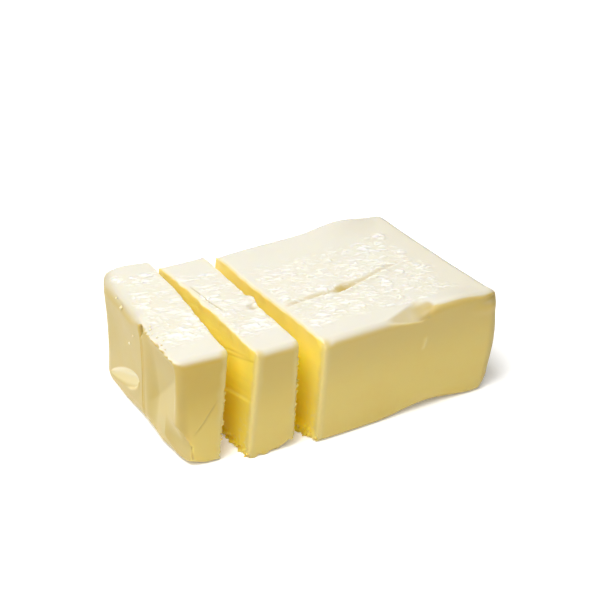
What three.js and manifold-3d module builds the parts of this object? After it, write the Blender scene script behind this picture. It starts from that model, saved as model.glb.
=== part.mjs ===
// A 250 g block of margarine, unwrapped, with two slices cut from one end and left standing in line.
// Millimetres, +Z up. +X runs along the block away from the sliced end, and -Y is its front.
// The origin is the middle of the footprint of all three pieces, on the table.
import * as THREE from "three";
import { mergeVertices } from "three/addons/utils/BufferGeometryUtils.js";
import Module from "manifold-3d";

const wasm = await Module();
wasm.setup();

// Sizes that all three pieces share.
const WIDTH = 71; // front to back, as wrapped
const CUT_ROUND = 0.5; // the edge that a knife leaves
const FRONT_ROUND = 2.6; // long edges, as the wrapper shaped them
const BACK_ROUND = 3.6;
const TOP_ROUND = 2.6;
const FOOT_ROUND = 1.8;
const END_ROUND = 3.2; // the two wrapped ends
const LATTICE_STEP = 3.7; // spacing of surface points away from the edges
const CORNER_SHARE = 0.586; // a point here, in radii from the edge, halves each quarter round
const SWELL = 0.22; // slow unevenness of the wrapped faces
const SWELL_LENGTH = 23; // from one swell to the next
const SWELLS = [
  { along: [1, 0.6, 0], start: 0 },
  { along: [0, 0.8, -0.5], start: 1.3 },
  { along: [1, 0, 0.7], start: 4 },
]; // each runs along its vector and starts at its angle in radians
const CRUMBLE = 0.55; // how far crumbs stand out or are missing along the foot of a cut
const CRUMBLE_HEIGHT = 5; // how far up a cut that reaches
const SCRAMBLE = { row: 127.1, side: 311.7, gain: 43758.5453 }; // makes neighbours unalike
const GROOVE_STEPS = 4; // cross sections of a groove for each of its points
const GROOVE_SIDES = 3; // segments in half of its round section
const WELD = 1e-4; // points closer than this are one

// Each piece has its own frame: x from its left face, y from its front and z from the table.
// A lean is how far the foot of an end face stands to the right of its top edge.
// A push moves the surface round the point at, within reach of it, by the vector by.
// A groove is a round cut along points, which sinks into the surface where they come near it.
const BLOCK = {
  name: "block",
  length: 68,
  height: 36,
  place: [0, 0],
  turn: 0,
  lean: { left: -2.9, right: -3.4 },
  widening: 0,
  cut: { left: true, right: false },
  pushes: [
    { at: [42, 70, 36], reach: [46, 26, 16], by: [0, 0.5, 1.4] }, // high middle of the back edge
    { at: [6, 70, 36], reach: [26, 24, 14], by: [0, 0.4, 0.8] },
    { at: [35, 1, 36], reach: [11, 11, 7], by: [0, 1.5, -1.7] }, // dent in the front edge
    { at: [66, 0, 35], reach: [8, 8, 6], by: [0.5, -0.4, 0.3] }, // drawn-up corner
    { at: [62, 0, 30], reach: [10, 6, 4], by: [0, 0.8, 0] }, // hollow below that corner
    { at: [66, 6, 18], reach: [9, 44, 20], by: [2, 0, 0] }, // belly of the wrapped end
    { at: [64.5, 0, 0], reach: [8, 26, 5], by: [-1.2, 0.4, 0] }, // narrower foot below it
    { at: [40, 0, 0], reach: [21, 8, 7], by: [0, 0.9, 1.6] }, // foot that clears the table
    { at: [-3, 13, 0], reach: [7, 13, 5], by: [-2.6, 0, 0] }, // foot that the knife dragged out
  ],
  grooves: [
    {
      points: [
        [2, 26.4, 36.9],
        [9, 27.2, 36.2],
        [17, 27.7, 35.9],
        [24.5, 26.7, 35.7],
        [30, 28.8, 35.8],
        [38, 30.8, 36],
        [46, 33.4, 36.4],
        [55, 35.5, 37.2],
      ],
      radius: 0.9,
    },
  ],
};

const INNER_SLICE = {
  name: "inner_slice",
  length: 15.1,
  height: 37,
  place: [-22.6, 3.2],
  turn: -1.8,
  lean: { left: -4, right: -2 },
  widening: 1.4,
  cut: { left: true, right: true },
  pushes: [
    { at: [15.8, 33, 37], reach: [4, 4.5, 4], by: [0.7, 0, 0.9] }, // torn nub
    { at: [0, 29, 37], reach: [6, 14, 9], by: [0.6, 0, 0] }, // wandering of the knife
    { at: [0, 47, 37], reach: [6, 12, 9], by: [0.6, 0, 0] },
    { at: [14, 0, 0], reach: [7, 7, 5], by: [-0.5, 0.6, 1.6] }, // corner torn off the foot
  ],
  grooves: [
    {
      points: [
        [-2.5, 21, 16],
        [-2.1, 12, 18.2],
        [-1.95, 6, 19.2],
        [-2.3, 0.5, 20.4],
      ],
      radius: 0.45,
    },
  ],
};

const END_SLICE = {
  name: "end_slice",
  length: 18,
  height: 38.2,
  place: [-48.3, 8.9],
  turn: -5.8,
  lean: { left: 1, right: -3.4 },
  widening: 0.4,
  cut: { left: false, right: true },
  pushes: [
    { at: [18.6, 44, 38], reach: [8, 28, 30], by: [0.9, 0, 0] }, // belly of the cut
    { at: [0.5, 53, 6], reach: [9, 16, 7], by: [2.6, 0, 0] }, // scoop near the foot of the end
    { at: [0, 71, 22], reach: [10, 10, 44], by: [1.9, -1.9, 0] }, // blunt upright corner at the back
    { at: [0, 20, 24], reach: [7, 17, 13], by: [1.1, 0, 0] }, // hollow over the corner fold
    { at: [0, 52, 22], reach: [7, 20, 14], by: [0.6, 0, 0] }, // hollow behind the upright fold
    { at: [0, 28, 0], reach: [9, 26, 6], by: [0.6, 0, 1.5] }, // foot that clears the table
    { at: [2, 0, 0], reach: [9, 9, 8], by: [1.5, 1.3, 1.4] }, // blunt corner of the foot
    { at: [15, 0, 3], reach: [5, 6, 6], by: [-1.2, 0.3, 0] }, // foot torn off by the knife
  ],
  grooves: [
    {
      points: [
        [0.2, 30.6, 36.4],
        [0.5, 32, 32],
        [0.75, 33.6, 19],
        [0.75, 34, 8],
        [0.6, 34, 1],
      ],
      radius: 0.6,
    }, // upright fold
    {
      points: [
        [15.6, -0.3, 19.4],
        [10.5, 0.05, 14.6],
        [5.2, 0.25, 9],
        [4.4, 0.6, 1],
      ],
      radius: 0.45,
    }, // corner fold on the front
    {
      points: [
        [0.3, 6.5, 14.5],
        [1, 2.4, 12],
        [3, 0.7, 9.6],
        [5.2, 0.2, 8.4],
      ],
      radius: 0.45,
    }, // corner fold round the end
  ],
};

const PALE_YELLOW = 0xf3dc92;
const SATIN = 0.45; // roughness

const clamp01 = (t) => Math.min(1, Math.max(0, t));
const smooth = (t) => t * t * (3 - 2 * t);
const mix = (a, b, t) => a + (b - a) * t;

// A repeatable value from -1 to 1 for a lattice row on one side.
function speckle(row, side) {
  const scrambled = Math.sin(row * SCRAMBLE.row + side * SCRAMBLE.side) * SCRAMBLE.gain;
  return 2 * (scrambled - Math.floor(scrambled)) - 1;
}

// Radii of the left and right end edges.
function endRounds({ cut }) {
  return [cut.left ? CUT_ROUND : END_ROUND, cut.right ? CUT_ROUND : END_ROUND];
}

// Places of the lattice lines along one side: close together in the two rounded edges, then even.
function stations(length, startRound, endRound) {
  const inner = length - startRound - endRound;
  const count = Math.max(2, Math.round(inner / LATTICE_STEP));
  const even = Array.from({ length: count + 1 }, (_, i) => startRound + (inner * i) / count);
  const start = [0, (1 - CORNER_SHARE) * startRound];
  const end = [length - (1 - CORNER_SHARE) * endRound, length];
  return [...start, ...even, ...end];
}

// How far a place lies into the rounded edge at either end of a side, from -1 to 1,
// with the edge's centre and radius.
function intoEdge(value, length, startRound, endRound) {
  const beginning = { share: value / startRound - 1, centre: startRound, radius: startRound };
  if (value < startRound) return beginning;
  const centre = length - endRound;
  if (value > centre) return { share: (value - centre) / endRound, centre, radius: endRound };
  return { share: 0, centre: value, radius: 0 };
}

// Slow swells of a wrapped face, from -1 to 1.
function swell(point) {
  const turn = (2 * Math.PI) / SWELL_LENGTH;
  const waves = SWELLS.map((s) => Math.sin(turn * point.dot(new THREE.Vector3(...s.along)) + s.start));
  return waves.reduce((sum, wave) => sum + wave) / waves.length;
}

// Falls from 1 at the push's centre to 0 at the edge of its reach.
function nearness(point, { at, reach }) {
  const d = Math.hypot(...at.map((a, i) => (point.getComponent(i) - a) / reach[i]));
  return smooth(clamp01(1 - d));
}

// One vertex of a box lattice, moved to the moulded form of its piece.
function mould(piece, x, y, z, row) {
  const along = intoEdge(x, piece.length, ...endRounds(piece));
  const across = intoEdge(y, WIDTH, FRONT_ROUND, BACK_ROUND);
  const up = intoEdge(z, piece.height, FOOT_ROUND, TOP_ROUND);
  const sides = [along, across, up];
  const size = Math.hypot(...sides.map((s) => s.share)) || 1;
  const normal = new THREE.Vector3(...sides.map((s) => s.share / size));
  const point = new THREE.Vector3(...sides.map((s, i) => s.centre + normal.getComponent(i) * s.radius));

  const fall = 1 - point.z / piece.height;
  const deep = point.y / WIDTH;
  const right = piece.lean.right * fall + piece.widening * deep;
  point.x += mix(piece.lean.left * fall, right, point.x / piece.length);

  const onTable = up.share === -1 && across.share === 0 && along.share === 0;
  const onCut = (piece.cut.left && along.share === -1) || (piece.cut.right && along.share === 1);
  if (!onTable && !onCut) point.addScaledVector(normal, SWELL * swell(point));
  if (onCut && z < CRUMBLE_HEIGHT) {
    const share = CRUMBLE * (1 - z / CRUMBLE_HEIGHT);
    point.x += share * speckle(row, along.share);
    point.z += z > 0 ? 0 : share * clamp01(speckle(row + 0.5, along.share));
  }
  const moved = point.clone();
  for (const push of piece.pushes) {
    moved.addScaledVector(new THREE.Vector3(...push.by), nearness(point, push));
  }
  moved.z = Math.max(0, moved.z);
  return moved;
}

// The whole piece as a closed lattice, before its folds are cut.
function mouldedGeometry(piece) {
  const sides = [
    stations(piece.length, ...endRounds(piece)),
    stations(WIDTH, FRONT_ROUND, BACK_ROUND),
    stations(piece.height, FOOT_ROUND, TOP_ROUND),
  ];
  const steps = sides.map((s) => s.length - 1);
  const lattice = new THREE.BoxGeometry(1, 1, 1, ...steps);
  lattice.deleteAttribute("normal");
  lattice.deleteAttribute("uv");
  const geometry = mergeVertices(lattice);
  const position = geometry.attributes.position;
  for (let i = 0; i < position.count; i++) {
    const cell = steps.map((count, k) => Math.round((position.getComponent(i, k) + 0.5) * count));
    const [x, y, z] = cell.map((line, k) => sides[k][line]);
    position.setXYZ(i, ...mould(piece, x, y, z, cell[1]));
  }
  return geometry;
}

// A round bar along a smooth line, for cutting a groove.
function bar({ points, radius }) {
  const line = new THREE.CatmullRomCurve3(points.map((p) => new THREE.Vector3(...p)));
  const section = new THREE.Shape().absarc(0, 0, radius, 0, 2 * Math.PI);
  const steps = GROOVE_STEPS * points.length;
  return new THREE.ExtrudeGeometry(section, { steps, curveSegments: GROOVE_SIDES, extrudePath: line });
}

// A closed geometry as a solid that can be cut.
function solid(geometry) {
  const bare = geometry.clone();
  bare.deleteAttribute("normal");
  bare.deleteAttribute("uv");
  const merged = mergeVertices(bare, WELD);
  return new wasm.Manifold(
    new wasm.Mesh({
      numProp: 3,
      vertProperties: new Float32Array(merged.attributes.position.array),
      triVerts: new Uint32Array(merged.index.array),
    }),
  );
}

// A cut solid as a geometry that can be drawn.
function geometryOf(manifold) {
  const { vertProperties, triVerts } = manifold.getMesh();
  const geometry = new THREE.BufferGeometry();
  geometry.setAttribute("position", new THREE.BufferAttribute(vertProperties, 3));
  geometry.setIndex(new THREE.BufferAttribute(triVerts, 1));
  geometry.computeVertexNormals();
  return geometry;
}

// A piece with its folds cut, standing in its place and turned as the knife left it.
function pieceMesh(piece) {
  const whole = solid(mouldedGeometry(piece));
  const folded = piece.grooves.reduce((body, groove) => body.subtract(solid(bar(groove))), whole);
  const material = new THREE.MeshStandardMaterial({ color: PALE_YELLOW, roughness: SATIN, metalness: 0 });
  const mesh = new THREE.Mesh(geometryOf(folded), material);
  mesh.name = piece.name;
  mesh.position.set(...piece.place, 0);
  mesh.rotation.z = THREE.MathUtils.degToRad(piece.turn);
  return mesh;
}

const margarine = new THREE.Group();
for (const piece of [BLOCK, INNER_SLICE, END_SLICE]) margarine.add(pieceMesh(piece));

// The middle of the footprint is the origin.
const extent = new THREE.Box3().setFromObject(margarine, true);
const middle = extent.getCenter(new THREE.Vector3());
const origin = new THREE.Vector3(middle.x, middle.y, extent.min.z);
for (const mesh of margarine.children) mesh.position.sub(origin);

export default margarine;
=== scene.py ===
"""Looks of a 250 g block of margarine, unwrapped, with two slices cut from one end and left standing.

Each piece is modelled in millimetres in its own frame, x from its left face, y from its front and z
from the table, and is then turned and set where its solid stands.
"""

import math
import random

import bpy
import numpy as np
from mathutils import Matrix, Vector, noise


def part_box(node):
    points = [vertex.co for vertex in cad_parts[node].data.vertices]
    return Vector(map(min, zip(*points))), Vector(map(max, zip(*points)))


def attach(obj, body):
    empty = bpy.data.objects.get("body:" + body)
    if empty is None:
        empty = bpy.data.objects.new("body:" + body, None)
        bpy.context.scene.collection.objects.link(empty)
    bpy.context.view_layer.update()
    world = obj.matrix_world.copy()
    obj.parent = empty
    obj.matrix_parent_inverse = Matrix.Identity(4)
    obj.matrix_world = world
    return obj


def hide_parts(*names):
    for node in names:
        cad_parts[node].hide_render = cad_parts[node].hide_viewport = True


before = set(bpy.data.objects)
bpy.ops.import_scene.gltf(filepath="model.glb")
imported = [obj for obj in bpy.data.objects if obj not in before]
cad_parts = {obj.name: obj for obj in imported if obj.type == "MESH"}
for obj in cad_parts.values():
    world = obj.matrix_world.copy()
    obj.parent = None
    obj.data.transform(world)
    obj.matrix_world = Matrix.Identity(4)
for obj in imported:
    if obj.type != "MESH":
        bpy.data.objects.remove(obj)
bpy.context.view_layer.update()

MM = 0.001

# Sizes that all three pieces share, in millimetres.
WIDTH = 71
CUT_ROUND = 0.4
UPRIGHT_CUT_ROUND = 1.4
FRONT_ROUND = 2.6
BACK_ROUND = 3.6
FOOT_ROUND = 1.8
END_ROUND = 3.2
BEVEL_STEPS = 6

# How near to a face of the plain box a corner counts as on it.
ON_FACE = 1

# Each piece's sizes, as its solid has them. Lean is how far the foot of its left and of its right end is
# shifted, and widening how much longer it is at its back. The peeled skin is the rough part of its top,
# from corner to corner, and flake the size of the flakes in it. The next value is how much deeper in
# colour its wrapped faces are, and the last how much painted shade darkens its left cut, at the front
# and in the middle.
BLOCK = {
    "node": "block",
    "name": "margarine_block",
    "length": 68,
    "height": 36,
    "turn": 0,
    "lean": (-2.9, -3.4),
    "widening": 0,
    "cut": ("left",),
    "top_end_round": END_ROUND,
    "voxel": 0.6,
    "peeled": ((1, 8), (60, 57)),
    "flake": 1.7,
    "deeper_tone_and_shade": 0,
    "cut_shade": (0.4, 0),
}
INNER_SLICE = {
    "node": "inner_slice",
    "name": "margarine_inner_slice",
    "length": 15.1,
    "height": 37,
    "turn": -1.8,
    "lean": (-4, -2),
    "widening": 1.4,
    "cut": ("left", "right"),
    "top_end_round": CUT_ROUND,
    "voxel": 0.4,
    "peeled": ((-1, 10), (20, 60)),
    "flake": 2.1,
    "deeper_tone_and_shade": 0.25,
    "cut_shade": (0.75, 0.25),
}
END_SLICE = {
    "node": "end_slice",
    "name": "margarine_end_slice",
    "length": 18,
    "height": 38.2,
    "turn": -5.8,
    "lean": (1, -3.4),
    "widening": 0.4,
    "cut": ("right",),
    "top_end_round": 1.0,
    "voxel": 0.4,
    "peeled": ((2, 9), (20, 63)),
    "flake": 2.1,
    "deeper_tone_and_shade": 0.7,
    "cut_shade": (0, 0),
}

# The faces of a piece: which two axes a place on it is given in, and the way it faces.
FACES = {
    "top": ((0, 1), (0, 0, 1)),
    "front": ((0, 2), (0, -1, 0)),
    "left": ((1, 2), (-1, 0, 0)),
    "right": ((1, 2), (1, 0, 0)),
}

# The view: where the camera looks, from how far, and along which line.
AIM = Vector((5.8, 2.1, 28.4)) * MM
VIEW_AZIMUTH = math.radians(-31.5)
VIEW_ELEVATION = math.radians(27.63)
VIEW_DISTANCE = 603.5 * MM
LENS = 108
SENSOR = 36


def pick_only(obj):
    bpy.ops.object.select_all(action="DESELECT")
    obj.select_set(True)
    bpy.context.view_layer.objects.active = obj


def apply_modifier(obj, kind, **settings):
    pick_only(obj)
    modifier = obj.modifiers.new(kind.lower(), kind)
    for name, value in settings.items():
        setattr(modifier, name, value)
    bpy.ops.object.modifier_apply(modifier=modifier.name)


def move_corners(obj, wanted, by):
    """Moves the corners of a box whose places pass the test, in edit mode."""
    for vertex in obj.data.vertices:
        vertex.select = wanted(vertex.co / MM)
    bpy.ops.object.mode_set(mode="EDIT")
    bpy.ops.transform.translate(value=Vector(by) * MM)
    bpy.ops.mesh.select_all(action="DESELECT")
    bpy.ops.object.mode_set(mode="OBJECT")


def edge_round(spec, middle):
    """The radius of a box edge, from where its middle lies."""
    on_left = middle.x < ON_FACE
    on_right = middle.x > spec["length"] - ON_FACE
    on_foot = middle.z < ON_FACE
    on_top = middle.z > spec["height"] - ON_FACE
    if (on_left and "left" in spec["cut"]) or (on_right and "right" in spec["cut"]):
        return CUT_ROUND if on_foot or on_top else UPRIGHT_CUT_ROUND
    if on_foot:
        return FOOT_ROUND
    if on_left or on_right:
        return spec["top_end_round"] if on_top else END_ROUND
    return FRONT_ROUND if middle.y < ON_FACE else BACK_ROUND


def wrapped_bar(spec):
    """The piece's plain form: a box with leaning cuts, rounded wrapped edges and an even fine mesh."""
    size = Vector((spec["length"], WIDTH, spec["height"])) * MM
    bpy.ops.object.select_all(action="DESELECT")
    bpy.ops.mesh.primitive_cube_add(size=1, location=size / 2, scale=size)
    piece = bpy.context.object
    piece.name = spec["name"]
    bpy.ops.object.transform_apply(location=True, rotation=True, scale=True)
    bpy.ops.object.mode_set(mode="EDIT")
    bpy.ops.mesh.select_all(action="DESELECT")
    bpy.ops.mesh.select_mode(type="VERT")
    bpy.ops.object.mode_set(mode="OBJECT")

    largest = BACK_ROUND
    weights = piece.data.attributes.new("bevel_weight_edge", "FLOAT", "EDGE")
    for edge in piece.data.edges:
        a, b = (piece.data.vertices[i].co / MM for i in edge.vertices)
        weights.data[edge.index].value = edge_round(spec, (a + b) / 2) / largest

    half = spec["length"] / 2
    left_lean, right_lean = spec["lean"]
    move_corners(piece, lambda p: p.x > half and p.y > ON_FACE, (spec["widening"], 0, 0))
    move_corners(piece, lambda p: p.x < half and p.z < ON_FACE, (left_lean, 0, 0))
    move_corners(piece, lambda p: p.x > half and p.z < ON_FACE, (right_lean, 0, 0))
    apply_modifier(piece, "BEVEL", limit_method="WEIGHT", width=largest * MM, segments=BEVEL_STEPS)
    apply_modifier(piece, "REMESH", mode="VOXEL", voxel_size=spec["voxel"] * MM, use_smooth_shade=True)
    return piece


def places(piece):
    """Every vertex's place, in millimetres."""
    flat = np.empty(3 * len(piece.data.vertices))
    piece.data.vertices.foreach_get("co", flat)
    return flat.reshape(-1, 3) / MM


def set_places(piece, points):
    piece.data.vertices.foreach_set("co", (points * MM).ravel())
    piece.data.update()


def facings(piece):
    """The way the surface faces at every vertex."""
    flat = np.empty(3 * len(piece.data.vertices))
    piece.data.vertices.foreach_get("normal", flat)
    return flat.reshape(-1, 3)


def smooth(share):
    """A share held between 0 and 1, with soft ends."""
    t = np.clip(share, 0, 1)
    return t * t * (3 - 2 * t)


def rising(value, start, length):
    """A soft step from 0 at the start to 1 a length further on."""
    return smooth((value - start) / length)


def falling(value, start, length):
    """A soft step from 1 at the start to 0 a length further on."""
    return 1 - rising(value, start, length)


def bell(offset, width):
    """A soft bump, 1 at no offset and near 0 at two widths from there."""
    return np.exp(-((offset / width) ** 2))


def ripple(points, length):
    """Smooth noise from about -1 to 1 at places in millimetres, with waves of about one length."""
    return np.array([noise.noise(p) for p in points / length])


def line_distance(flat, line):
    """How far each place lies to the left of a line of points, and how far along it, from 0 to 1."""
    line = np.array(line, float)
    lengths = np.linalg.norm(np.diff(line, axis=0), axis=1)
    nearest = np.full(len(flat), np.inf)
    left = np.zeros(len(flat))
    along = np.zeros(len(flat))
    travelled = 0
    for start, end, length in zip(line, line[1:], lengths):
        step = (end - start) / length
        reach = np.clip((flat - start) @ step, 0, length)
        offset = flat - start - reach[:, None] * step
        distance = np.linalg.norm(offset, axis=1)
        turn = step[0] * offset[:, 1] - step[1] * offset[:, 0]
        nearer = distance < nearest
        nearest[nearer] = distance[nearer]
        left[nearer] = (np.sign(turn) * distance)[nearer]
        along[nearer] = ((travelled + reach) / lengths.sum())[nearer]
        travelled += length
    return left, along


def end_depths(spec, points):
    """How far each point lies behind the left and the right end of the plain bar."""
    x, y, z = points.T
    fall = 1 - z / spec["height"]
    left_lean, right_lean = spec["lean"]
    right_end = spec["length"] + right_lean * fall + spec["widening"] * y / WIDTH
    return {"left": x - left_lean * fall, "right": right_end - x}


class Clay:
    """One piece's surface as points in millimetres, worked as by hand.

    Moves are placed on the plain bar, so that one doesn't shift the next.
    """

    def __init__(self, piece, spec):
        self.spec = spec
        self.plain = places(piece)
        self.points = self.plain.copy()
        self.normals = facings(piece)

        # What is painted at every point, from 0 to 1: painted shade, painted highlights, where the pale top
        # is left off, the peeled skin, whiter flakes as painted highlights and their seams as painted
        # shade, painted shade at the end of the dent, and a deeper tone with painted shade.
        self.painted_shade = np.zeros(len(self.plain))
        self.bright = np.zeros(len(self.plain))
        self.bare = np.zeros(len(self.plain))
        self.skin = np.zeros(len(self.plain))
        self.flake = np.zeros(len(self.plain))
        self.seam = np.zeros(len(self.plain))
        self.dent_end_shade = np.zeros(len(self.plain))
        self.deeper_tone_and_shade = np.zeros(len(self.plain))

    def facing(self, face):
        """How squarely each point faces one way, from 0 to 1."""
        return smooth((self.normals @ np.array(FACES[face][1]) - 0.55) / 0.35)

    def flat(self, face):
        """Every point's place on a face, in its two axes."""
        return self.plain[:, FACES[face][0]]

    def below_top(self):
        """How far each point lies below the top of the bar."""
        return self.spec["height"] - self.plain[:, 2]

    def behind(self, side):
        """How far each point lies behind the left or the right end of the bar."""
        return end_depths(self.spec, self.plain)[side]

    def cut(self, depth):
        """How near each point lies to a cut, from 0 at the depth behind it to 1."""
        return np.max([smooth(1 - self.behind(side) / depth) for side in self.spec["cut"]], axis=0)

    def push(self, at, reach, by):
        """Moves the surface round a place, by less and less out to its reach."""
        distance = np.linalg.norm((self.plain - at) / reach, axis=1)
        self.points += smooth(1 - distance)[:, None] * np.array(by)

    def push_all(self, pushes):
        for at, reach, by in pushes.values():
            self.push(at, reach, by)

    # Paints shade where shade falls: in creases, grooves, hollows, under lips and along the foot.
    def paint_shade(self, share):
        self.painted_shade = np.maximum(self.painted_shade, share)

    # Paints highlights where light catches edges, lips and slopes.
    def paint_highlight(self, share):
        self.bright = np.maximum(self.bright, share)

    def lift(self, face, amount):
        """Raises a face by its own amount at every point."""
        self.points += (self.facing(face) * amount)[:, None] * np.array(FACES[face][1])

    def press(self, at, normal, share):
        """Flattens what stands above a plane, by a share at every point, and returns what was touched."""
        normal = np.array(normal) / np.linalg.norm(normal)
        above = np.clip((self.points - at) @ normal, 0, None)
        self.points -= (share * above)[:, None] * normal
        return smooth(above / 0.5)

    def spot(self, face, at):
        """The worked surface's point nearest to a spot on a face."""
        distance = np.linalg.norm(self.flat(face) - at, axis=1)
        return self.points[np.argmin(np.where(self.facing(face) > 0.5, distance, np.inf))]

    def crease(self, face, line, depth, width, lip=0, taper=0.12):
        """Draws a groove along a line on a face, with a raised lip on the right of it and painted shade in
        the groove.
        """
        left, along = line_distance(self.flat(face), line)
        ends = smooth(np.minimum(along, 1 - along) / taper)
        groove = ends * bell(left, width)
        self.lift(face, ends * lip * bell(left + 1.8 * width, 1.3 * width) - depth * groove)
        self.paint_shade(self.facing(face) * groove * min(1, depth / 0.5))

    def crumble(self, share, size, height, way):
        """Breaks the surface up into crumbs that stand out one way, by a share at every point."""
        near = np.flatnonzero(share > 0.01)
        crumbs = np.array([0.5 - noise.voronoi(p)[0][0] for p in self.plain[near] / size])
        self.points[near] += (height * share[near] * crumbs)[:, None] * np.array(way)


def refine(piece, wanted):
    """Splits every face whose middle passes the test into four."""
    flat = np.empty(3 * len(piece.data.polygons))
    piece.data.polygons.foreach_get("center", flat)
    pick_only(piece)
    bpy.ops.object.mode_set(mode="EDIT")
    bpy.ops.mesh.select_mode(type="FACE")
    bpy.ops.mesh.select_all(action="DESELECT")
    bpy.ops.object.mode_set(mode="OBJECT")
    piece.data.polygons.foreach_set("select", wanted(flat.reshape(-1, 3) / MM))
    bpy.ops.object.mode_set(mode="EDIT")
    bpy.ops.mesh.subdivide()
    bpy.ops.mesh.select_mode(type="VERT")
    bpy.ops.object.mode_set(mode="OBJECT")


def cut_distance(spec, points):
    """How far each point lies behind the nearest cut of the plain bar."""
    depths = end_depths(spec, points)
    return np.min([depths[side] for side in spec["cut"]], axis=0)


def fine_places(spec, points):
    """Which points need a finer mesh: the peeled skin, and where a cut meets the front or the table."""
    x, y, z = points.T
    edges = (cut_distance(spec, points) < 1.6) & ((z < 4.5) | (y < 1.6))
    (x_low, y_low), (x_high, y_high) = spec["peeled"]
    peeled = (x > x_low) & (x < x_high) & (y > y_low) & (y < y_high) & (z > spec["height"] - 0.5)
    return edges | peeled


# The flakes of the peeled skin: how far they stand up, how much longer than wide they are and which way,
# how far their borders wander, how deep they sit, how steeply they tilt and how wide their rims are.
FLAKE_HEIGHT = 0.5
FLAKE_STRETCH = 1.9
FLAKE_AXIS = np.array((0.853, -0.522, 0))
FLAKE_WANDER = 0.4
FLAKE_WANDER_LENGTH = 2.6
FLAKE_SINK = 0.25
FLAKE_TILT = 1.6
FLAKE_RIM = 0.4

# Smaller flakes lie between the others, with these shares of their size and height.
SMALL_FLAKE_SIZE = 0.5
SMALL_FLAKE_HEIGHT = 0.6

# The peeled skin's border, its patches and the unevenness under its flakes.
PEEL_BORDER = 4
PATCH_LENGTH = 8
UNEVEN_HEIGHT = 0.1
UNEVEN_LENGTH = 4.5

# Slow swells of the wrapped faces.
SWELL_HEIGHT = 0.22
SWELL_LENGTH = 17

# The marks on a cut: streaks that rise towards the back with the knife, slow waves and an uneven top edge,
# each with its height and the lengths of its waves along x, y and z.
KNIFE_SLANT = 0.16
STREAK_HEIGHT = 0.07
STREAK_LENGTHS = np.array((9, 34, 1.2))
WAVE_HEIGHT = 0.18
WAVE_LENGTHS = np.array((9, 20, 8))
TOP_EDGE_HEIGHT = 0.35
TOP_EDGE_LENGTHS = np.array((9, 4, 6))

# How far the front edge of a left and of a right cut crumbles.
EDGE_CRUMBLING = {"left": 0.4, "right": 2.2}

# Swells and hollows, each with its place on the plain bar, its reach and the move at its middle.
BLOCK_PUSHES = {
    "risen back edge": ((42, 70, 36), (46, 26, 16), (0, 0.5, 1.4)),
    "risen back corner at the cut": ((6, 70, 36), (26, 24, 14), (0, 0.4, 0.8)),
    "hump on the back edge": ((49, 71, 36), (16, 14, 12), (0, 0.2, 1.4)),
    "front corner of the wrapped end": ((66, 0.5, 36), (7, 7, 5), (0.4, -0.3, 0.3)),
    "edge that hangs over beside it": ((62, 0, 36), (9, 5, 2.6), (0, -0.6, 0)),
    "hollow under the corner": ((64.5, 0, 34), (5, 5, 2.4), (0, 0.7, 0)),
    "swell under the hollow": ((63, 0, 31), (8, 5, 3.2), (0, -0.6, 0)),
    "belly of the wrapped end": ((66, 6, 18), (9, 44, 20), (2, 0, 0)),
    "narrower foot of the wrapped end": ((64.5, 0, 0), (8, 26, 5), (-1.2, 0.4, 0)),
    "lifted foot of the front": ((40, 0, 0), (21, 8, 7), (0, 0.9, 1.6)),
    "dragged-out foot of the cut": ((-3, 13, 0), (7, 13, 5), (-2.6, 0, 0)),
    "blunt corner above the cut": ((0, 0, 36), (5, 5, 3.5), (0.4, 0.4, -0.8)),
}
INNER_SLICE_PUSHES = {
    "torn nub": ((15.8, 33, 37), (4, 4.5, 4), (0.7, 0, 0.9)),
    "pit beside the nub": ((13.6, 28.5, 37.2), (2.6, 2.4, 2), (0, 0, -0.7)),
    "front bay in the edge of the cut": ((0, 29, 37), (6, 14, 9), (0.6, 0, 0)),
    "back bay in the edge of the cut": ((0, 47, 37), (6, 12, 9), (0.6, 0, 0)),
    "lifted front foot": ((14, 0, 0), (7, 7, 5), (-0.5, 0.6, 1.6)),
}
END_SLICE_PUSHES = {
    "belly of the cut": ((18.6, 44, 38), (8, 28, 30), (0.9, 0, 0)),
    "risen back": ((9, 66, 38), (14, 16, 12), (0, 0, 0.9)),
    "blunt foot corner": ((2, 0, 0), (9, 9, 8), (0.8, 0.6, 1.4)),
    "narrower foot behind it": ((0.5, 7, 0), (7, 12, 8), (1.5, 0, 0.5)),
    "blunt back corner": ((0, 71, 22), (10, 10, 44), (1.9, -1.9, 0)),
    "hollow in the back half of the end": ((0, 52, 24), (7, 20, 14), (0.6, 0, 0)),
    "lifted foot of the end": ((0, 28, 0), (9, 26, 6), (0.6, 0, 1.5)),
    "sunken top edge": ((0, 26, 38), (4.5, 8, 4.5), (0.7, 0, -0.9)),
}

# The dent in the front edge of the block: where it starts and where it fades out, the plane that it was
# pressed to, its lower edge on the front, and how far what was pushed along stands up beside it.
DENT_START = 10
DENT_FADE = 32
DENT_FADE_LENGTH = 11
DENT_FLOOR = (38, 0, 32.9)
DENT_FACING = (0.147, -0.366, 0.919)
DENT_EDGE = [(22, 35.7), (25.6, 34.9), (29, 34.3), (33, 33.6), (38.2, 32.9)]
DENT_LIP = (0, -0.3, 1.3)

# Where that lip starts and ends along the front, how far back it reaches and from what height, each as the
# start and the length of a soft step.
LIP_START = (36, 10)
LIP_END = (50, 15)
LIP_BACK = (1, 12)
LIP_FOOT = (28, 7)

# The tear in the top of the block, from the cut towards the far end, where it is widest, and how wide it is
# elsewhere.
TEAR = [
    (1, 26.2),
    (8, 27.3),
    (16.3, 28),
    (21.5, 26.6),
    (25.4, 26.6),
    (30, 28.6),
    (37, 30.4),
    (46, 33.2),
    (57, 35.8),
]
TEAR_MIDDLE = 24.8
TEAR_WIDTH = 2.6

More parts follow.
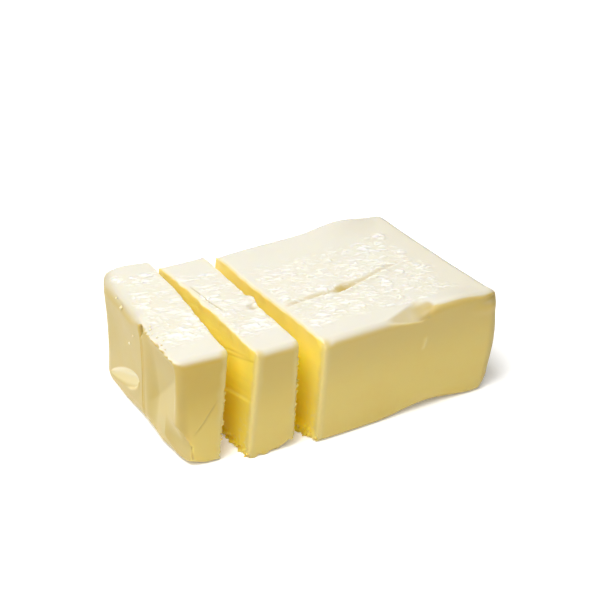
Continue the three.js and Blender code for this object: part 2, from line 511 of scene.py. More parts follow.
# On the block: a drop of fat that ran down its front, a spot of painted shade in its front corner, and
# the folds of the wrapper on its far end, one upright and one slanting.
DROP = [(38.7, 27.6), (38.5, 25.4), (37.8, 23.2)]
CORNER_SPOT = (65.5, 0, 34.4)
END_FOLDS = (
    [(37, 36), (36.2, 27), (37.4, 14), (36.6, 1)],
    [(4, 33), (20, 23), (36, 12)],
)

# On the inner slice: the pit in its top, the groove along its top edge, the crack across its cut and two
# lines that the knife left above that.
PIT = (13.6, 28.5)
GROOVE = [(1.9, 52), (2.4, 44), (3, 37), (3.7, 30)]
CRACK = [(24, 15.2), (12, 18.2), (6, 19.2), (0.5, 20.4)]
KNIFE_LINES = (
    ([(24, 27.5), (17.6, 28.7), (0.7, 33.7)], 0.1, 0.35, 0.08),
    ([(22, 29.4), (17.8, 30.4), (4, 33.6)], 0.08, 0.3, 0.06),
)

# On the end of the end slice: the valley across its front half, the wrapper's upright fold with the notch
# at the top of it, and the scoop near its foot.
VALLEY = [(4.5, 31), (31, 8)]
VALLEY_DEPTH = 2.2
UPRIGHT_FOLD = [(30.2, 37.4), (29.4, 30), (30.3, 18), (31.4, 10), (32.2, 1)]
NOTCH = (0, 29.6, 35.6)
NOTCH_REACH = (3, 1.9, 2.8)
NOTCH_DEPTH = 2
SCOOP = [(62.5, 3.4), (34, 15)]
SCOOP_HALF = 3.5
SCOOP_DEPTH = 2.4

# On the front of the end slice: the plane of its flattened foot corner and the creases round that.
CORNER_PLANE = (4.4, 0, 0)
CORNER_FACING = (-0.95, -0.31, 0.1)
FOOT_CREASE = [(-1.5, 17.5), (1.5, 13), (3.7, 9), (4.3, 6)]
LOW_CREASE = [(4, 8), (4.4, 5), (4.6, 0.5)]
SLANTED_CREASE = [(14.5, 23), (11.5, 18.8), (9.2, 15.4), (5, 10.6)]


def press_dent(clay):
    """A dent along the front edge, half bare, with painted shade at its end, a painted highlight on its
    lower edge and a raised lip at its end.
    """
    x, y, z = clay.plain.T
    share = falling(x - 0.2 * y, DENT_FADE, DENT_FADE_LENGTH) * (x > DENT_START)
    touched = clay.press(DENT_FLOOR, DENT_FACING, share)
    lip = rising(x, *LIP_START) * falling(x, *LIP_END) * falling(y, *LIP_BACK) * rising(z, *LIP_FOOT)
    clay.points += lip[:, None] * np.array(DENT_LIP)

    # The end of the dent is painted with shade, and the pale top colour with its painted sheen is left off
    # the dent and off a strip along the edge beyond it.
    over_edge = y - np.clip(clay.below_top(), 0, None)
    above_foot = rising(over_edge + 0.17 * (x - 28.5), -1.2, 0.6)
    skin_edge = np.minimum(5 + 0.84 * (x - 28), 7)
    below_skin = smooth((skin_edge - over_edge) / 3)
    wall_end = 40.3 + 0.6 * np.clip(over_edge + 1, 0, 4)
    clay.dent_end_shade = above_foot * below_skin * rising(x, 33.5, 5) * smooth((wall_end - x) / 1.6 + 0.5)
    strip_edge = 1.4 + 2 * bell(x - 40.5, 3)
    strip = smooth((strip_edge - over_edge) / 1.2) * rising(x, 38, 3) * falling(x, 58, 8)
    clay.bare = np.maximum(0.5 * share * touched, 0.85 * strip)

    # The lower edge of the dent catches the light.
    above, along = line_distance(clay.flat("front"), DENT_EDGE)
    ends = smooth(along / 0.3) * smooth((1 - along) / 0.1)
    clay.paint_highlight(0.8 * (y < 3) * ends * bell(above - 0.1, 0.4))


def open_tear(clay):
    """A tear across the top: a raised front lip, then a drop behind it that rises slowly again.
    Its inside is painted with shade, in a deeper and less pale colour.
    """
    behind, along = line_distance(clay.flat("top"), TEAR)
    ends = clay.facing("top") * smooth(along / 0.08) * smooth((1 - along) / 0.3)
    deepest = bell(clay.plain[:, 0] - TEAR_MIDDLE, 3.6)
    width = TEAR_WIDTH * (1 + deepest)
    past_lip = rising(behind, -0.25, 0.5)
    drop = past_lip * falling(behind, 0, width)
    clay.lift("top", ends * (0.25 * bell(behind + 0.9, 1.1) - (0.5 + 0.55 * deepest) * drop))
    inside = ends * past_lip * falling(behind, 0.5 * width, 0.6 * width)
    clay.paint_shade(inside * (0.05 + 0.25 * deepest))
    clay.bare = np.maximum(clay.bare, inside * (0.35 + 0.5 * deepest))
    clay.deeper_tone_and_shade = 0.8 * inside


def shape_block(clay):
    """The uncut rest of the block, with its dent, its tear and the folds on its far end."""
    x, y, z = clay.plain.T
    clay.push_all(BLOCK_PUSHES)
    press_dent(clay)
    open_tear(clay)
    yellower_end = 0.1 * rising(x, 40, 25)
    clay.bare = np.maximum(clay.bare, yellower_end)
    # Painted shade: a spot in the front corner under the top edge, and a band on the lifted foot of the
    # front.
    corner = smooth(1.2 - np.linalg.norm((clay.plain - CORNER_SPOT) / 3, axis=1))
    clay.deeper_tone_and_shade = np.maximum(clay.deeper_tone_and_shade, 0.8 * corner)
    lifted_foot = (y < 3) * falling(z, 0.8, 0.8) * bell(x - 43, 8)
    clay.paint_shade(np.maximum(0.35 * corner, 0.7 * lifted_foot))

    clay.crease("front", DROP, -0.3, 0.6)
    # A painted highlight along the drop.
    left, along = line_distance(clay.flat("front"), DROP)
    clay.paint_highlight(0.7 * (y < 3) * smooth(2 * along * (1.6 - along)) * bell(left, 0.6))
    for line in END_FOLDS:
        clay.crease("right", line, 0.5, 0.9, 0.2)


def shape_inner_slice(clay):
    """The slice next to the block, with its torn nub, and the crack and the knife's lines on its cut."""
    x, y, z = clay.plain.T
    clay.push_all(INNER_SLICE_PUSHES)
    # Painted shade in the pit, in a less pale colour.
    pit = clay.facing("top") * bell(x - PIT[0], 1.3) * bell(y - PIT[1], 1.8)
    clay.paint_shade(0.1 * pit)
    clay.bare = 0.4 * pit
    clay.crease("top", GROOVE, 0.3, 0.35, 0.2)
    clay.crumble(smooth(1 - y / 2.5) * smooth(1 - z / 3), 4, -3, (0, 0.4, 1))

    # The lower side of the crack stands out, with a painted highlight along the crack.
    below, along = line_distance(clay.flat("left"), CRACK)
    clay.lift("left", 0.45 * smooth(1.4 - along) * rising(below, 0, 0.5) * falling(below, 0, 6))
    clay.paint_highlight(0.4 * clay.facing("left") * smooth((1 - along) / 0.3) * bell(below, 0.4))
    for line, depth, width, lip in KNIFE_LINES:
        clay.crease("left", line, depth, width, lip)


def soften_back_edge(clay):
    """Rounds the back half of the top edge of the end, and leaves the front half crisp."""
    y = clay.plain[:, 1]
    radius = 1 + 4.4 * rising(y, 28, 12)
    inside_x = np.clip(radius - clay.behind("left"), 0, None)
    inside_z = np.clip(radius - clay.below_top(), 0, None)
    reach = np.hypot(inside_x, inside_z)
    excess = np.where(reach > radius, 1 - radius / np.maximum(reach, 1e-6), 0)
    clay.points += np.stack([excess * inside_x, 0 * y, -excess * inside_z], axis=1)


def fold_end(clay):
    """The wrapper's folds: a valley across the front half, and an upright fold between the halves.
    The lower side of the valley is painted lighter, and the notch and the fold's groove with shade.
    """
    y, z = clay.flat("left").T
    above = line_distance(clay.flat("left"), VALLEY)[0]
    valley = np.clip(1 - np.where(above > 0, above / 24, -above / 13), 0, 1)
    front_half = rising(y, 1, 5) * falling(y, 21, 7.5)
    inner = rising(z, 0, 5) * rising(clay.below_top(), 0, 5)
    clay.lift("left", -VALLEY_DEPTH * valley * front_half * inner)
    # The lower side of the valley is painted lighter, as it faces the light.
    lower_side = rising(-above, 0, 1.5) * falling(-above, 4, 12)
    clay.paint_highlight(0.3 * clay.facing("left") * lower_side * front_half)
    clay.crease("left", UPRIGHT_FOLD, 0.8, 0.42, 0.25, 0.02)
    clay.push(NOTCH, NOTCH_REACH, (NOTCH_DEPTH, 0, 0))
    clay.paint_shade(smooth(1.5 - 1.5 * np.linalg.norm((clay.plain - NOTCH) / NOTCH_REACH, axis=1)))


def hang_skin(clay):
    """The skin of the top hangs over the front half of the end in a ragged lip.
    A painted shadow runs under it.
    """
    y = clay.plain[:, 1]
    ragged = smooth(0.4 + 1.3 * ripple(clay.plain, 2.2)) * falling(y, 26, 2) * rising(y, 1, 3)
    lip = smooth(1.6 - clay.behind("left")) * smooth(1.8 - clay.below_top()) * ragged
    clay.points += lip[:, None] * np.array((-1, 0, 0.2))
    clay.paint_shade(0.6 * clay.facing("left") * falling(y, 27, 1.5) * bell(clay.below_top() - 2, 0.7))


def flatten_foot_corner(clay):
    """The corner at the foot of the front, flattened under a crease that runs round it.
    The flattened corner is painted lighter, and the creases with shade.
    """
    x, y, z = clay.plain.T
    below_crease = smooth((16.5 - 2 * np.clip(x, 0, 4) - z) / (1.2 + 6 * smooth(y / 4)))
    clay.press(CORNER_PLANE, CORNER_FACING, 0.85 * below_crease * (y < 20))
    clay.paint_highlight(0.3 * below_crease * falling(x, 3.8, 0.8) * falling(y, 3, 9))
    clay.crease("front", FOOT_CREASE, 0.6, 0.4, -0.1, 0.1)
    left, along = line_distance(clay.flat("front"), FOOT_CREASE)
    clay.paint_shade(0.7 * (y < 6) * smooth(np.minimum(along, 1 - along) / 0.2) * bell(left, 0.4))
    clay.crease("front", LOW_CREASE, 0.3, 0.35, -0.1, 0.2)
    clay.crease("front", SLANTED_CREASE, 0.28, 0.32, 0.1, 0.3)


def scoop_end(clay):
    """A slanting scoop near the foot of the end, with a raised lip under it.
    Its inside and its lip are painted with highlights, and below the lip a shade is painted.
    """
    foot, head = np.array(SCOOP, float)
    half_length = np.linalg.norm(head - foot) / 2
    axis = (head - foot) / (2 * half_length)
    offset = clay.flat("left") - (foot + head) / 2
    lengthwise = offset @ axis / half_length
    narrowing = np.sqrt(np.clip(1 - lengthwise**2, 0, None)) * (1 + 0.3 * lengthwise)
    rise = offset @ np.array([axis[1], -axis[0]]) / np.maximum(SCOOP_HALF * narrowing, 1e-6)
    floor = np.clip((1 + rise) / 2, 0, 1) * smooth(1 - rise)
    lip = bell(rise + 1, 0.17) * smooth(3 * narrowing) * smooth(0.2 + 2 * lengthwise)
    clay.lift("left", 0.35 * lip - SCOOP_DEPTH * narrowing * floor)
    scooped = clay.facing("left") * np.maximum(lip, smooth(4 * floor) * (narrowing > 0))
    clay.paint_highlight(scooped)
    clay.flake = 0.6 * scooped * smooth(0.3 + rise)
    below_lip = bell(rise + 1.8, 0.5) * smooth(2 * narrowing) * smooth(0.4 + 2 * lengthwise)
    clay.paint_shade(0.5 * clay.facing("left") * below_lip)


def shape_end_slice(clay):
    """The outer slice, with the wrapped end of the block on its left and a torn foot on its cut."""
    y, z = clay.flat("right").T
    clay.push_all(END_SLICE_PUSHES)
    soften_back_edge(clay)
    fold_end(clay)
    hang_skin(clay)
    flatten_foot_corner(clay)
    scoop_end(clay)
    torn_foot = falling(z, 6.1, 0.9) * falling(y, 1, 6)
    clay.lift("right", -1.7 * torn_foot)


def flakes(spots, size):
    """The heights of a skin of small flakes, each a low pillow that is tilted its own way."""
    across = ripple(spots, FLAKE_WANDER_LENGTH)
    lengthwise = ripple(spots + 50, FLAKE_WANDER_LENGTH)
    wander = FLAKE_WANDER * np.stack([across, lengthwise, 0 * across], axis=1)
    spots = spots - np.outer((1 - 1 / FLAKE_STRETCH) * (spots @ FLAKE_AXIS), FLAKE_AXIS)
    heights = []
    for spot in spots / size + wander:
        distances, centres = noise.voronoi(spot)
        own = noise.cell_vector(centres[0])
        offset = Vector(spot) - centres[0]
        tilt = (own.x - 0.5) * offset.x + (own.y - 0.5) * offset.y
        height = max(0, own.z - FLAKE_SINK + FLAKE_TILT * tilt)
        heights.append(height * min(1, (distances[1] - distances[0]) / FLAKE_RIM))
    return np.array(heights)


def peel_top(clay):
    """Raises flakes of skin on the top, in patches with an uneven border."""
    spec = clay.spec
    x, y = clay.flat("top").T
    (x_low, y_low), (x_high, y_high) = spec["peeled"]
    from_border = np.minimum.reduce([x - x_low, x_high - x, y - y_low, y_high - y])
    uneven_border = from_border + PEEL_BORDER * ripple(clay.plain, PATCH_LENGTH)
    clay.skin = clay.facing("top") * smooth(uneven_border / PEEL_BORDER) * (1 - clay.bare)
    top = np.flatnonzero(clay.skin > 0.01)
    spots = clay.plain[top] * (1, 1, 0)
    strength = clay.skin[top] * smooth(0.95 + 0.9 * ripple(spots, PATCH_LENGTH))
    large = flakes(spots, spec["flake"])
    small = flakes(spots + 30, SMALL_FLAKE_SIZE * spec["flake"])
    heights = large + SMALL_FLAKE_HEIGHT * small
    uneven = clay.skin[top] * UNEVEN_HEIGHT * ripple(spots, UNEVEN_LENGTH)
    clay.points[top, 2] += strength * FLAKE_HEIGHT * heights + uneven
    # The raised flakes are painted whiter as highlights, and the seams between them darker as shade.
    clay.flake[top] = strength * smooth(heights / 0.55)
    clay.seam[top] = strength * (1 - smooth(heights / 0.2))


def rough_cut(clay, side):
    """Knife marks and slow waves on a cut, with crumbling along its foot and up its front edge."""
    y, z = clay.flat(side).T
    way = -1 if side == "left" else 1
    behind = clay.behind(side)
    streaks = ripple(clay.plain + np.outer(y, (0, 0, KNIFE_SLANT)), STREAK_LENGTHS)
    waves = ripple(clay.plain, WAVE_LENGTHS)
    top_edge = smooth(1 - clay.below_top() / 5) * ripple(clay.plain, TOP_EDGE_LENGTHS)
    marks = STREAK_HEIGHT * streaks + WAVE_HEIGHT * waves + TOP_EDGE_HEIGHT * top_edge
    clay.points[:, 0] += way * smooth(1 - behind / 0.9) * marks

    foot = smooth(1 - behind / 1.6) * smooth(1 - z / 5)
    clay.crumble(foot, 1.7, 2.2, (way, 0, 0))
    clay.crumble(foot * smooth(1 - z / 1.5), 2.6, -1.6, (0, 0, 1))
    front_edge = smooth(1 - behind / 1.2) * smooth(1 - y / 1.6) * smooth(clay.below_top() / 8)
    uneven = smooth(0.6 + 1.2 * ripple(clay.plain, 5))
    clay.crumble(front_edge * uneven, 1.2, EDGE_CRUMBLING[side], (way, -0.3, 0))


def age(clay):
    """What every piece has: slow swells, peeled skin on top, rough cuts and painted shade along the foot.
    """
    z = clay.plain[:, 2]
    on_table = smooth((-clay.normals[:, 2] - 0.5) / 0.3)
    wrapped = (1 - on_table) * (1 - clay.cut(0.9))
    swells = SWELL_HEIGHT * wrapped * ripple(clay.plain, SWELL_LENGTH)
    clay.points += swells[:, None] * clay.normals
    peel_top(clay)
    for side in clay.spec["cut"]:
        rough_cut(clay, side)
    clay.points[:, 2] = np.clip(clay.points[:, 2], 0, None)
    clay.paint_shade(0.4 * smooth(1 - z / 2))


def paint(piece, clay):
    """Keeps values at every vertex for the material to read, each from 0 to 1."""
    spec = clay.spec
    y, z = clay.flat("left").T
    from_cut = cut_distance(spec, clay.plain)
    from_wrapping = np.minimum.reduce([y, WIDTH - y, clay.below_top()])
    from_upright = np.hypot(from_cut, y) * (1 + 0.4 * ripple(clay.plain, 4))
    # A painted glow along the rims of the cuts, kept with the painted highlights.
    cut_rim_glow = smooth(1.1 - np.hypot(from_cut, from_wrapping) / 2)
    near_front = smooth(1.3 - y / 9)
    end_skin = 0 * y
    for side in ("left", "right"):
        if side not in spec["cut"]:
            end_skin = np.maximum(end_skin, smooth(1.4 - clay.behind(side) / 3))
    cut_shade_front, cut_shade_middle = spec["cut_shade"]
    cut_shade = cut_shade_middle + (cut_shade_front - cut_shade_middle) * near_front
    painted = {
        "cut": clay.cut(1.1),
        "edge": smooth(1.4 - from_upright / 2.2),
        "painted_highlight": np.maximum(0.35 * cut_rim_glow, clay.bright),
        "heart": smooth(from_wrapping / 15),
        "deep": smooth(from_wrapping / 9) * smooth(1 - z / 26),
        "end_skin": end_skin,
        "deeper_tone_and_shade": np.maximum(clay.deeper_tone_and_shade, spec["deeper_tone_and_shade"]),
        "cut_shade": cut_shade * smooth(1.5 - clay.behind("left") / 4),
        "scraped": near_front * smooth(1.4 - z / 16),
        "dent_end_shade": clay.dent_end_shade,
        "pale_and_sheen": rising(z, spec["height"] - 6, 3) * (1 - clay.bare),
        "skin": clay.skin,
        "flake": clay.flake,
        "seam": clay.seam,
        "painted_shade": clay.painted_shade,
    }
    for name, values in painted.items():
        piece.data.attributes.new(name, "FLOAT", "POINT").data.foreach_set("value", values)


def set_in_place(piece, spec):
    """Turns the piece and sets it where its solid stands. Returns both moves as one."""
    low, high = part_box(spec["node"])
    turn = Matrix.Rotation(math.radians(spec["turn"]), 4, "Z")
    turned = places(piece) @ np.array(turn.to_3x3()).T * MM
    middle = (turned.min(0) + turned.max(0)) / 2
    shift_x = (low.x + high.x) / 2 - middle[0]
    shift_y = (low.y + high.y) / 2 - middle[1]
    placing = Matrix.Translation((shift_x, shift_y, -turned[:, 2].min())) @ turn
    piece.matrix_world = placing
    pick_only(piece)
    bpy.ops.object.transform_apply(location=True, rotation=True, scale=True)
    return placing


def make_piece(spec, shape, fine):
    """One piece of margarine, shaped, aged, painted and set in place of its solid."""
    piece = wrapped_bar(spec)
    refine(piece, lambda points: fine_places(spec, points) | fine(points))
    clay = Clay(piece, spec)
    shape(clay)
    age(clay)
    set_places(piece, clay.points)
    paint(piece, clay)
    placing = set_in_place(piece, spec)
    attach(piece, "root")
    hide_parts(spec["node"])
    return piece, clay, placing


def joined_grains(name, grains, unevenness, seed):
    """One mesh of small lumps, each an uneven ball at its place, given with its radius in metres."""
    bpy.ops.object.select_all(action="DESELECT")
    bpy.ops.mesh.primitive_ico_sphere_add(subdivisions=2, radius=1)
    lumps = bpy.context.object
    lumps.name = name
    ball = np.array([vertex.co for vertex in lumps.data.vertices])
    faces = np.array([face.vertices for face in lumps.data.polygons])
    draw = np.random.default_rng(seed)
    points = []
    corners = []
    for place, radius in grains:
        uneven = ball * (1 + unevenness * draw.standard_normal((len(ball), 1)))
        corners.append(faces + len(ball) * len(points))
        points.append(np.array(place) + radius * uneven * draw.uniform(1 - 2 * unevenness, 1, 3))
    points = np.concatenate(points)
    points[:, 2] = np.clip(points[:, 2], 0, None)
    lumps.data.clear_geometry()
    lumps.data.from_pydata(points.tolist(), [], np.concatenate(corners).tolist())
    pick_only(lumps)
    bpy.ops.object.shade_smooth()
    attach(lumps, "root")
    return lumps


# The crumbs on each cut: how many, the share of them at its foot and up its front edge, their radii, how
# high and how far back those at its foot lie, and what share of a crumb's radius it stands out by.
CRUMBS_PER_CUT = 60
FOOT_CRUMB_SHARE = 0.65
EDGE_CRUMB_SHARE = 0.35
SMALLEST_CRUMB = 0.15
LARGEST_FOOT_CRUMB = 0.55
LARGEST_EDGE_CRUMB = 0.36
FOOT_CRUMB_HEIGHT = 2.2
FOOT_CRUMB_BACK = 45
CRUMB_STANDING = 0.3

# How uneven crumbs and drops are, and the seeds of where crumbs lie and of how each lump is formed.
CRUMB_UNEVENNESS = 0.18
BEAD_UNEVENNESS = 0.08
CRUMB_PLACES_SEED = 7
CRUMB_FORMS_SEED = 5
BEAD_FORMS_SEED = 6


def crumbs_on(clay, placing, draw):
    """Crumbs stuck to the feet of a piece's cuts and up the front edge of its right one."""
    x, y, z = clay.plain.T
    count = CRUMBS_PER_CUT * len(clay.spec["cut"])
    at_cut = clay.cut(0.8) > 0.6
    foot = np.flatnonzero(at_cut & (z < FOOT_CRUMB_HEIGHT) & (y < FOOT_CRUMB_BACK))
    kinds = [(foot, FOOT_CRUMB_SHARE, LARGEST_FOOT_CRUMB)]
    if "right" in clay.spec["cut"]:
        edge = np.flatnonzero(at_cut & (y < 0.7) & (x > 5) & (z < 0.65 * clay.spec["height"]))
        kinds.append((edge, EDGE_CRUMB_SHARE, LARGEST_EDGE_CRUMB))
    grains = []
    for spots, share, largest in kinds:
        for index in draw.choices(spots.tolist(), k=round(share * count)):
            radius = draw.uniform(SMALLEST_CRUMB, largest)
            place = clay.points[index] + CRUMB_STANDING * radius * clay.normals[index]
            grains.append((placing @ (Vector(place) * MM), radius * MM))
    return grains


def beads_on(clay, placing, face, beads):
    """Beads half sunk in a face, each given with the place of its middle and its radius."""
    return [(placing @ (Vector(clay.spot(face, at)) * MM), radius * MM) for at, radius in beads]


class Shade:
    """A value in a material's nodes. Python's operators on it add Math nodes."""

    def __init__(self, tree, socket=None):
        self.tree = tree
        self.socket = socket

    def node(self, kind, settings=None, inputs=None, output=0):
        """Adds a node of any type, its settings first and then the values or links of its sockets."""
        made = self.tree.nodes.new(kind)
        for name, value in (settings or {}).items():
            setattr(made, name, value)
        for name, value in (inputs or {}).items():
            if isinstance(value, Shade):
                self.tree.links.new(value.socket, made.inputs[name])
            else:
                made.inputs[name].default_value = value
        return Shade(self.tree, made.outputs[output] if made.outputs else None)

    def math(self, operation, *values):
        return self.node("ShaderNodeMath", {"operation": operation}, dict(enumerate(values)))

    def __add__(self, other):
        return self.math("ADD", self, other)

    __radd__ = __add__

    def __sub__(self, other):
        return self.math("SUBTRACT", self, other)

    def __mul__(self, other):
        return self.math("MULTIPLY", self, other)

    def ramp(self, low, high):
        """A smooth step from 0 at the low value to 1 at the high one."""
        limits = {"Value": self, "From Min": low, "From Max": high}
        return self.node("ShaderNodeMapRange", {"interpolation_type": "SMOOTHSTEP"}, limits)

    def tinted(self, over, share):
        """This colour with another laid over it, by a share."""
        return self.node("ShaderNodeMix", {"data_type": "RGBA"}, {0: share, 6: self, 7: over}, output=2)

    def noise(self, length, detail=2):
        """Noise from 0 to 1 on this vector, with waves of about one length in millimetres."""
        inputs = {"Vector": self, "Scale": 1 / (length * MM), "Detail": detail}
        return self.node("ShaderNodeTexNoise", inputs=inputs)

    def colour(self, value):
        made = self.node("ShaderNodeRGB")
        made.socket.default_value = value
        return made

    def attribute(self, name):
        return self.node("ShaderNodeAttribute", {"attribute_name": name}, output="Fac")


# Colours of the margarine, as linear light.
WRAPPED_LOW = (0.585, 0.455, 0.110, 1)
WRAPPED_HIGH = (0.510, 0.386, 0.102, 1)
DEEPER_TONE_AND_SHADE = (0.450, 0.310, 0.025, 1)
END_SKIN = (0.418, 0.312, 0.068, 1)
CUT_EDGE = (0.79, 0.65, 0.165, 1)
CUT_HEART = (0.99, 0.785, 0.06, 1)
CUT_DEEP = (0.97, 0.70, 0.014, 1)
CUT_SHADE = (0.66, 0.505, 0.05, 1)
PALE_TOP_AND_SHEEN = (0.573, 0.546, 0.457, 1)
FLAKE_HIGHLIGHT = (0.665, 0.65, 0.595, 1)
DENT_END_SHADE = (0.43, 0.33, 0.11, 1)
SEAM_SHADE = (0.56, 0.51, 0.34, 1)
PALE_SCRAPE_AND_HIGHLIGHT = (0.67, 0.57, 0.26, 1)
UPRIGHT_EDGE = (0.53, 0.435, 0.155, 1)
OCHRE = (0.57, 0.37, 0.064, 1)
PAINTED_SHADE = (0.375, 0.268, 0.05, 1)
CRUMB = ((0.72, 0.50, 0.045, 1), (0.76, 0.61, 0.17, 1))
BEAD = ((0.64, 0.55, 0.30, 1), (0.68, 0.62, 0.42, 1))

# How strongly some of them are laid on.
SCRAPED_SHARE = 0.7
OCHRE_SHARE = 0.16
DENT_END_SHADE_SHARE = 0.85
SEAM_SHADE_SHARE = 0.18
PAINTED_HIGHLIGHT_SHARE = 0.7
UPRIGHT_EDGE_SHARE = 0.8

# How far light spreads inside the margarine and inside a crumb, in millimetres, and the share of that for
# red, green and blue.
SCATTER = 2.6
GRAIN_SCATTER = 0.25
SCATTER_SHARES = (1.0, 0.75, 0.35)

# How rough the surfaces are, how much that varies, and how much smoother and wetter a flake of skin is.
ROUGHNESS = 0.36
ROUGHNESS_SPREAD = 0.14
CRUMB_ROUGHNESS = 0.5
BEAD_ROUGHNESS = 0.45
FLAKE_GLOSS = 0.14
FLAKE_COAT = 0.6
COAT_ROUGHNESS = 0.12

# The sizes of the finest patterns, in millimetres, the shares of three of them in the fine relief, and how
# deep and how strong that is.
MOTTLE_LENGTH = 7
FLECK_LENGTH = 1.3
GRAIN_LENGTH = 0.35
KNIFE_MARK_LENGTH = 0.5
KNIFE_MARK_SCALE = (0.3, 0.04, 1)
GRAIN_RELIEF = 0.25
FLECK_RELIEF = 0.3
KNIFE_RELIEF = 0.4
RELIEF_DEPTH = 0.16
RELIEF_STRENGTH = 0.6


def margarine_material():
    """The margarine of the pieces, coloured by what was painted on them."""
    material = bpy.data.materials.new("margarine")
    material.use_nodes = True
    tree = material.node_tree
    tree.nodes.clear()
    start = Shade(tree)
    place = start.node("ShaderNodeTexCoord", output="Object")
    normal = start.node("ShaderNodeTexCoord", output="Normal")
    up = start.node("ShaderNodeSeparateXYZ", inputs={0: normal}, output="Z")
    cut = start.attribute("cut")
    skin = start.attribute("skin")
    mottle = place.noise(MOTTLE_LENGTH, detail=3)
    flecks = place.noise(FLECK_LENGTH)
    grain = place.noise(GRAIN_LENGTH, detail=1)
    along_knife = {"Vector": place, "Rotation": (KNIFE_SLANT, 0, 0), "Scale": KNIFE_MARK_SCALE}
    slanted = start.node("ShaderNodeMapping", inputs=along_knife)
    knife = slanted.noise(KNIFE_MARK_LENGTH)

    # The colour of the cuts, then that of the wrapped faces with everything else laid over it.
    height = start.node("ShaderNodeSeparateXYZ", inputs={0: place}, output="Z")
    inside = start.colour(CUT_EDGE).tinted(CUT_HEART, start.attribute("heart"))
    inside = inside.tinted(CUT_DEEP, start.attribute("deep"))
    # Painted shade on the left cuts, which face into the gaps between the pieces.
    inside = inside.tinted(CUT_SHADE, start.attribute("cut_shade"))
    inside = inside.tinted(PALE_SCRAPE_AND_HIGHLIGHT, flecks.ramp(0.45, 0.75) * start.attribute("scraped") * SCRAPED_SHARE)
    # The wrapped faces are painted lighter towards the foot, for light thrown up from the floor.
    colour = start.colour(WRAPPED_LOW).tinted(WRAPPED_HIGH, height.ramp(14 * MM, 34 * MM))
    # A deeper tone on the slices' wrapped faces, and painted shade in the tear and in the block's front
    # corner.
    colour = colour.tinted(DEEPER_TONE_AND_SHADE, start.attribute("deeper_tone_and_shade") * height.ramp(6 * MM, 28 * MM))
    colour = colour.tinted(END_SKIN, start.attribute("end_skin"))
    colour = colour.tinted(OCHRE, mottle.ramp(0.4, 0.8) * OCHRE_SHARE)
    colour = colour.tinted(inside, cut)
    # Up-facing parts near the top are painted paler: partly the top's own paler skin, partly painted sheen
    # from the light above.
    colour = colour.tinted(PALE_TOP_AND_SHEEN, up.ramp(0.12, 0.95) * start.attribute("pale_and_sheen"))
    # Painted shade at the end of the dent.
    colour = colour.tinted(DENT_END_SHADE, start.attribute("dent_end_shade") * DENT_END_SHADE_SHARE)
    # Painted highlights on the raised flakes and in the scoop, and painted shade in the seams between
    # flakes.
    colour = colour.tinted(FLAKE_HIGHLIGHT, start.attribute("flake"))
    colour = colour.tinted(SEAM_SHADE, start.attribute("seam") * SEAM_SHADE_SHARE)
    # Painted highlights: a glow along the rims of the cuts, and light caught by edges, lips, slopes and the
    # scoop.
    colour = colour.tinted(PALE_SCRAPE_AND_HIGHLIGHT, start.attribute("painted_highlight") * PAINTED_HIGHLIGHT_SHARE)
    colour = colour.tinted(UPRIGHT_EDGE, start.attribute("edge") * UPRIGHT_EDGE_SHARE)
    # Painted shade in creases, grooves, hollows, the tear, under lips and along the foot.
    colour = colour.tinted(PAINTED_SHADE, start.attribute("painted_shade"))

    relief = grain * GRAIN_RELIEF + flecks * skin * FLECK_RELIEF + knife * cut * KNIFE_RELIEF
    raised = {"Strength": RELIEF_STRENGTH, "Distance": RELIEF_DEPTH * MM, "Height": relief}
    bump = start.node("ShaderNodeBump", inputs=raised)
    wet = start.attribute("flake")
    surface = start.node(
        "ShaderNodeBsdfPrincipled",
        {"subsurface_method": "RANDOM_WALK"},
        {
            "Base Color": colour,
            "Roughness": ROUGHNESS + mottle * ROUGHNESS_SPREAD - wet * FLAKE_GLOSS,
            "Subsurface Weight": 1.0,
            "Subsurface Radius": SCATTER_SHARES,
            "Subsurface Scale": SCATTER * MM,
            "Coat Weight": wet * FLAKE_COAT,
            "Coat Roughness": COAT_ROUGHNESS,
            "Normal": bump,
        },
    )
    start.node("ShaderNodeOutputMaterial", inputs={"Surface": surface})
    return material


def grain_material(name, colours, roughness):
    """Small lumps of margarine or fat, mottled between two colours."""
    material = bpy.data.materials.new(name)
    material.use_nodes = True
    tree = material.node_tree
    tree.nodes.clear()
    start = Shade(tree)
    mottle = start.node("ShaderNodeTexCoord", output="Object").noise(1.5)
    dark, light = colours
    surface = start.node(
        "ShaderNodeBsdfPrincipled",
        {"subsurface_method": "RANDOM_WALK"},
        {
            "Base Color": start.colour(dark).tinted(light, mottle.ramp(0.35, 0.65)),
            "Roughness": roughness,
            "Subsurface Weight": 1.0,
            "Subsurface Radius": SCATTER_SHARES,
            "Subsurface Scale": GRAIN_SCATTER * MM,
        },
    )
    start.node("ShaderNodeOutputMaterial", inputs={"Surface": surface})
    return material


# The studio: softboxes with their places and widths in metres and their power in watts, and the light of
# the room and of the floor itself.
SOFTBOXES = {
    "key": ((-0.28, 0, 0.77), 0.5, 7),
    "fill": ((-0.36, -0.36, 0.64), 0.45, 3.2),
    "behind": ((0.36, 0.575, 0.45), 0.45, 1.25),
}
ROOM_LIGHT = 0.18
FLOOR_LIGHT = 0.17
FLOOR_SIZE = 6
FLOOR_GREY = (0.95, 0.95, 0.95, 1)
FLOOR_ROUGHNESS = 0.9
WHITE = (1, 1, 1, 1)


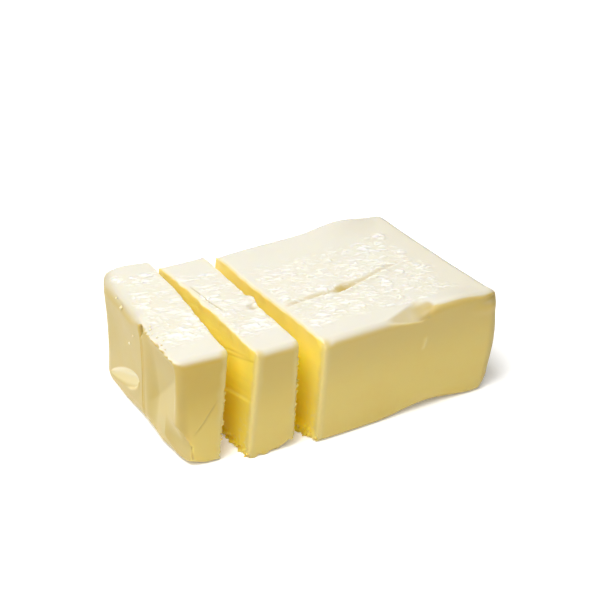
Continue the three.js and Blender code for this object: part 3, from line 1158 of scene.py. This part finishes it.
def pale_floor():
    bpy.ops.object.select_all(action="DESELECT")
    bpy.ops.mesh.primitive_plane_add(size=FLOOR_SIZE)
    floor = bpy.context.object
    floor.name = "floor"
    material = bpy.data.materials.new("pale_floor")
    material.use_nodes = True
    shader = material.node_tree.nodes["Principled BSDF"]
    shader.inputs["Base Color"].default_value = FLOOR_GREY
    shader.inputs["Roughness"].default_value = FLOOR_ROUGHNESS
    shader.inputs["Specular IOR Level"].default_value = 0
    shader.inputs["Emission Color"].default_value = WHITE
    shader.inputs["Emission Strength"].default_value = FLOOR_LIGHT
    floor.data.materials.append(material)


def soft_light(name, place, size, power):
    """A square softbox that faces the block."""
    bpy.ops.object.light_add(type="AREA", location=place)
    light = bpy.context.object
    light.name = name
    light.data.size = size
    light.data.energy = power
    light.rotation_euler = (AIM - Vector(place)).to_track_quat("-Z", "Y").to_euler()


def studio():
    world = bpy.data.worlds.new("studio")
    bpy.context.scene.world = world
    world.use_nodes = True
    background = world.node_tree.nodes["Background"]
    background.inputs["Color"].default_value = WHITE
    background.inputs["Strength"].default_value = ROOM_LIGHT
    for name, (place, size, power) in SOFTBOXES.items():
        soft_light(name, place, size, power)
    bpy.context.scene.view_settings.view_transform = "Standard"


def photo_camera():
    back = Vector(
        (
            math.sin(VIEW_AZIMUTH) * math.cos(VIEW_ELEVATION),
            -math.cos(VIEW_AZIMUTH) * math.cos(VIEW_ELEVATION),
            math.sin(VIEW_ELEVATION),
        )
    )
    bpy.ops.object.camera_add(location=AIM + back * VIEW_DISTANCE)
    camera = bpy.context.object
    camera.rotation_euler = back.to_track_quat("Z", "Y").to_euler()
    camera.data.lens = LENS
    camera.data.sensor_width = SENSOR
    bpy.context.scene.camera = camera


# How near to the tear and to the upright fold the mesh is finer.
NEAR_TEAR = 2.2
NEAR_FOLD = 1.6


def near_tear(points):
    """Which points of the block's top lie near its tear."""
    close = np.abs(line_distance(points[:, :2], TEAR)[0]) < NEAR_TEAR
    return close & (points[:, 2] > BLOCK["height"] - 1)


def near_folds(points):
    """Which points of the end slice's end lie near its upright fold or its scoop."""
    close = np.abs(line_distance(points[:, 1:], UPRIGHT_FOLD)[0]) < NEAR_FOLD
    scooped = np.abs(line_distance(points[:, 1:], SCOOP)[0]) < SCOOP_HALF + 1
    return (close | scooped) & (points[:, 0] < 3)


def nowhere(points):
    """No points, for a piece without such places."""
    return np.zeros(len(points), bool)


# Drops on the end of the end slice and pale bits along its top edge, each with its radius.
END_DROPS = [
    ((47.4, 35.4), 0.75),
    ((41.2, 24.9), 0.5),
    ((53, 36.4), 0.45),
    ((36.5, 30.2), 0.35),
]
PALE_BITS = [
    ((1.4, 24.9), 0.5),
    ((0.9, 21.5), 0.4),
    ((1.4, 18), 0.45),
    ((0.9, 13.3), 0.4),
    ((1, 10), 0.35),
    ((2.2, 26.8), 0.35),
    ((2.6, 15.6), 0.3),
]

photo_camera()
margarine = margarine_material()
draw = random.Random(CRUMB_PLACES_SEED)
grains = []
for spec, shape, fine in (
    (BLOCK, shape_block, near_tear),
    (INNER_SLICE, shape_inner_slice, nowhere),
    (END_SLICE, shape_end_slice, near_folds),
):
    piece, clay, placing = make_piece(spec, shape, fine)
    piece.data.materials.append(margarine)
    grains += crumbs_on(clay, placing, draw)
crumbs = joined_grains("margarine_crumbs", grains, CRUMB_UNEVENNESS, CRUMB_FORMS_SEED)
crumbs.data.materials.append(grain_material("margarine_crumb", CRUMB, CRUMB_ROUGHNESS))

# The end slice was made last, so the drops and bits go on it.
grains = beads_on(clay, placing, "left", END_DROPS) + beads_on(clay, placing, "top", PALE_BITS)
beads = joined_grains("margarine_beads", grains, BEAD_UNEVENNESS, BEAD_FORMS_SEED)
beads.data.materials.append(grain_material("margarine_bead", BEAD, BEAD_ROUGHNESS))
pale_floor()
studio()
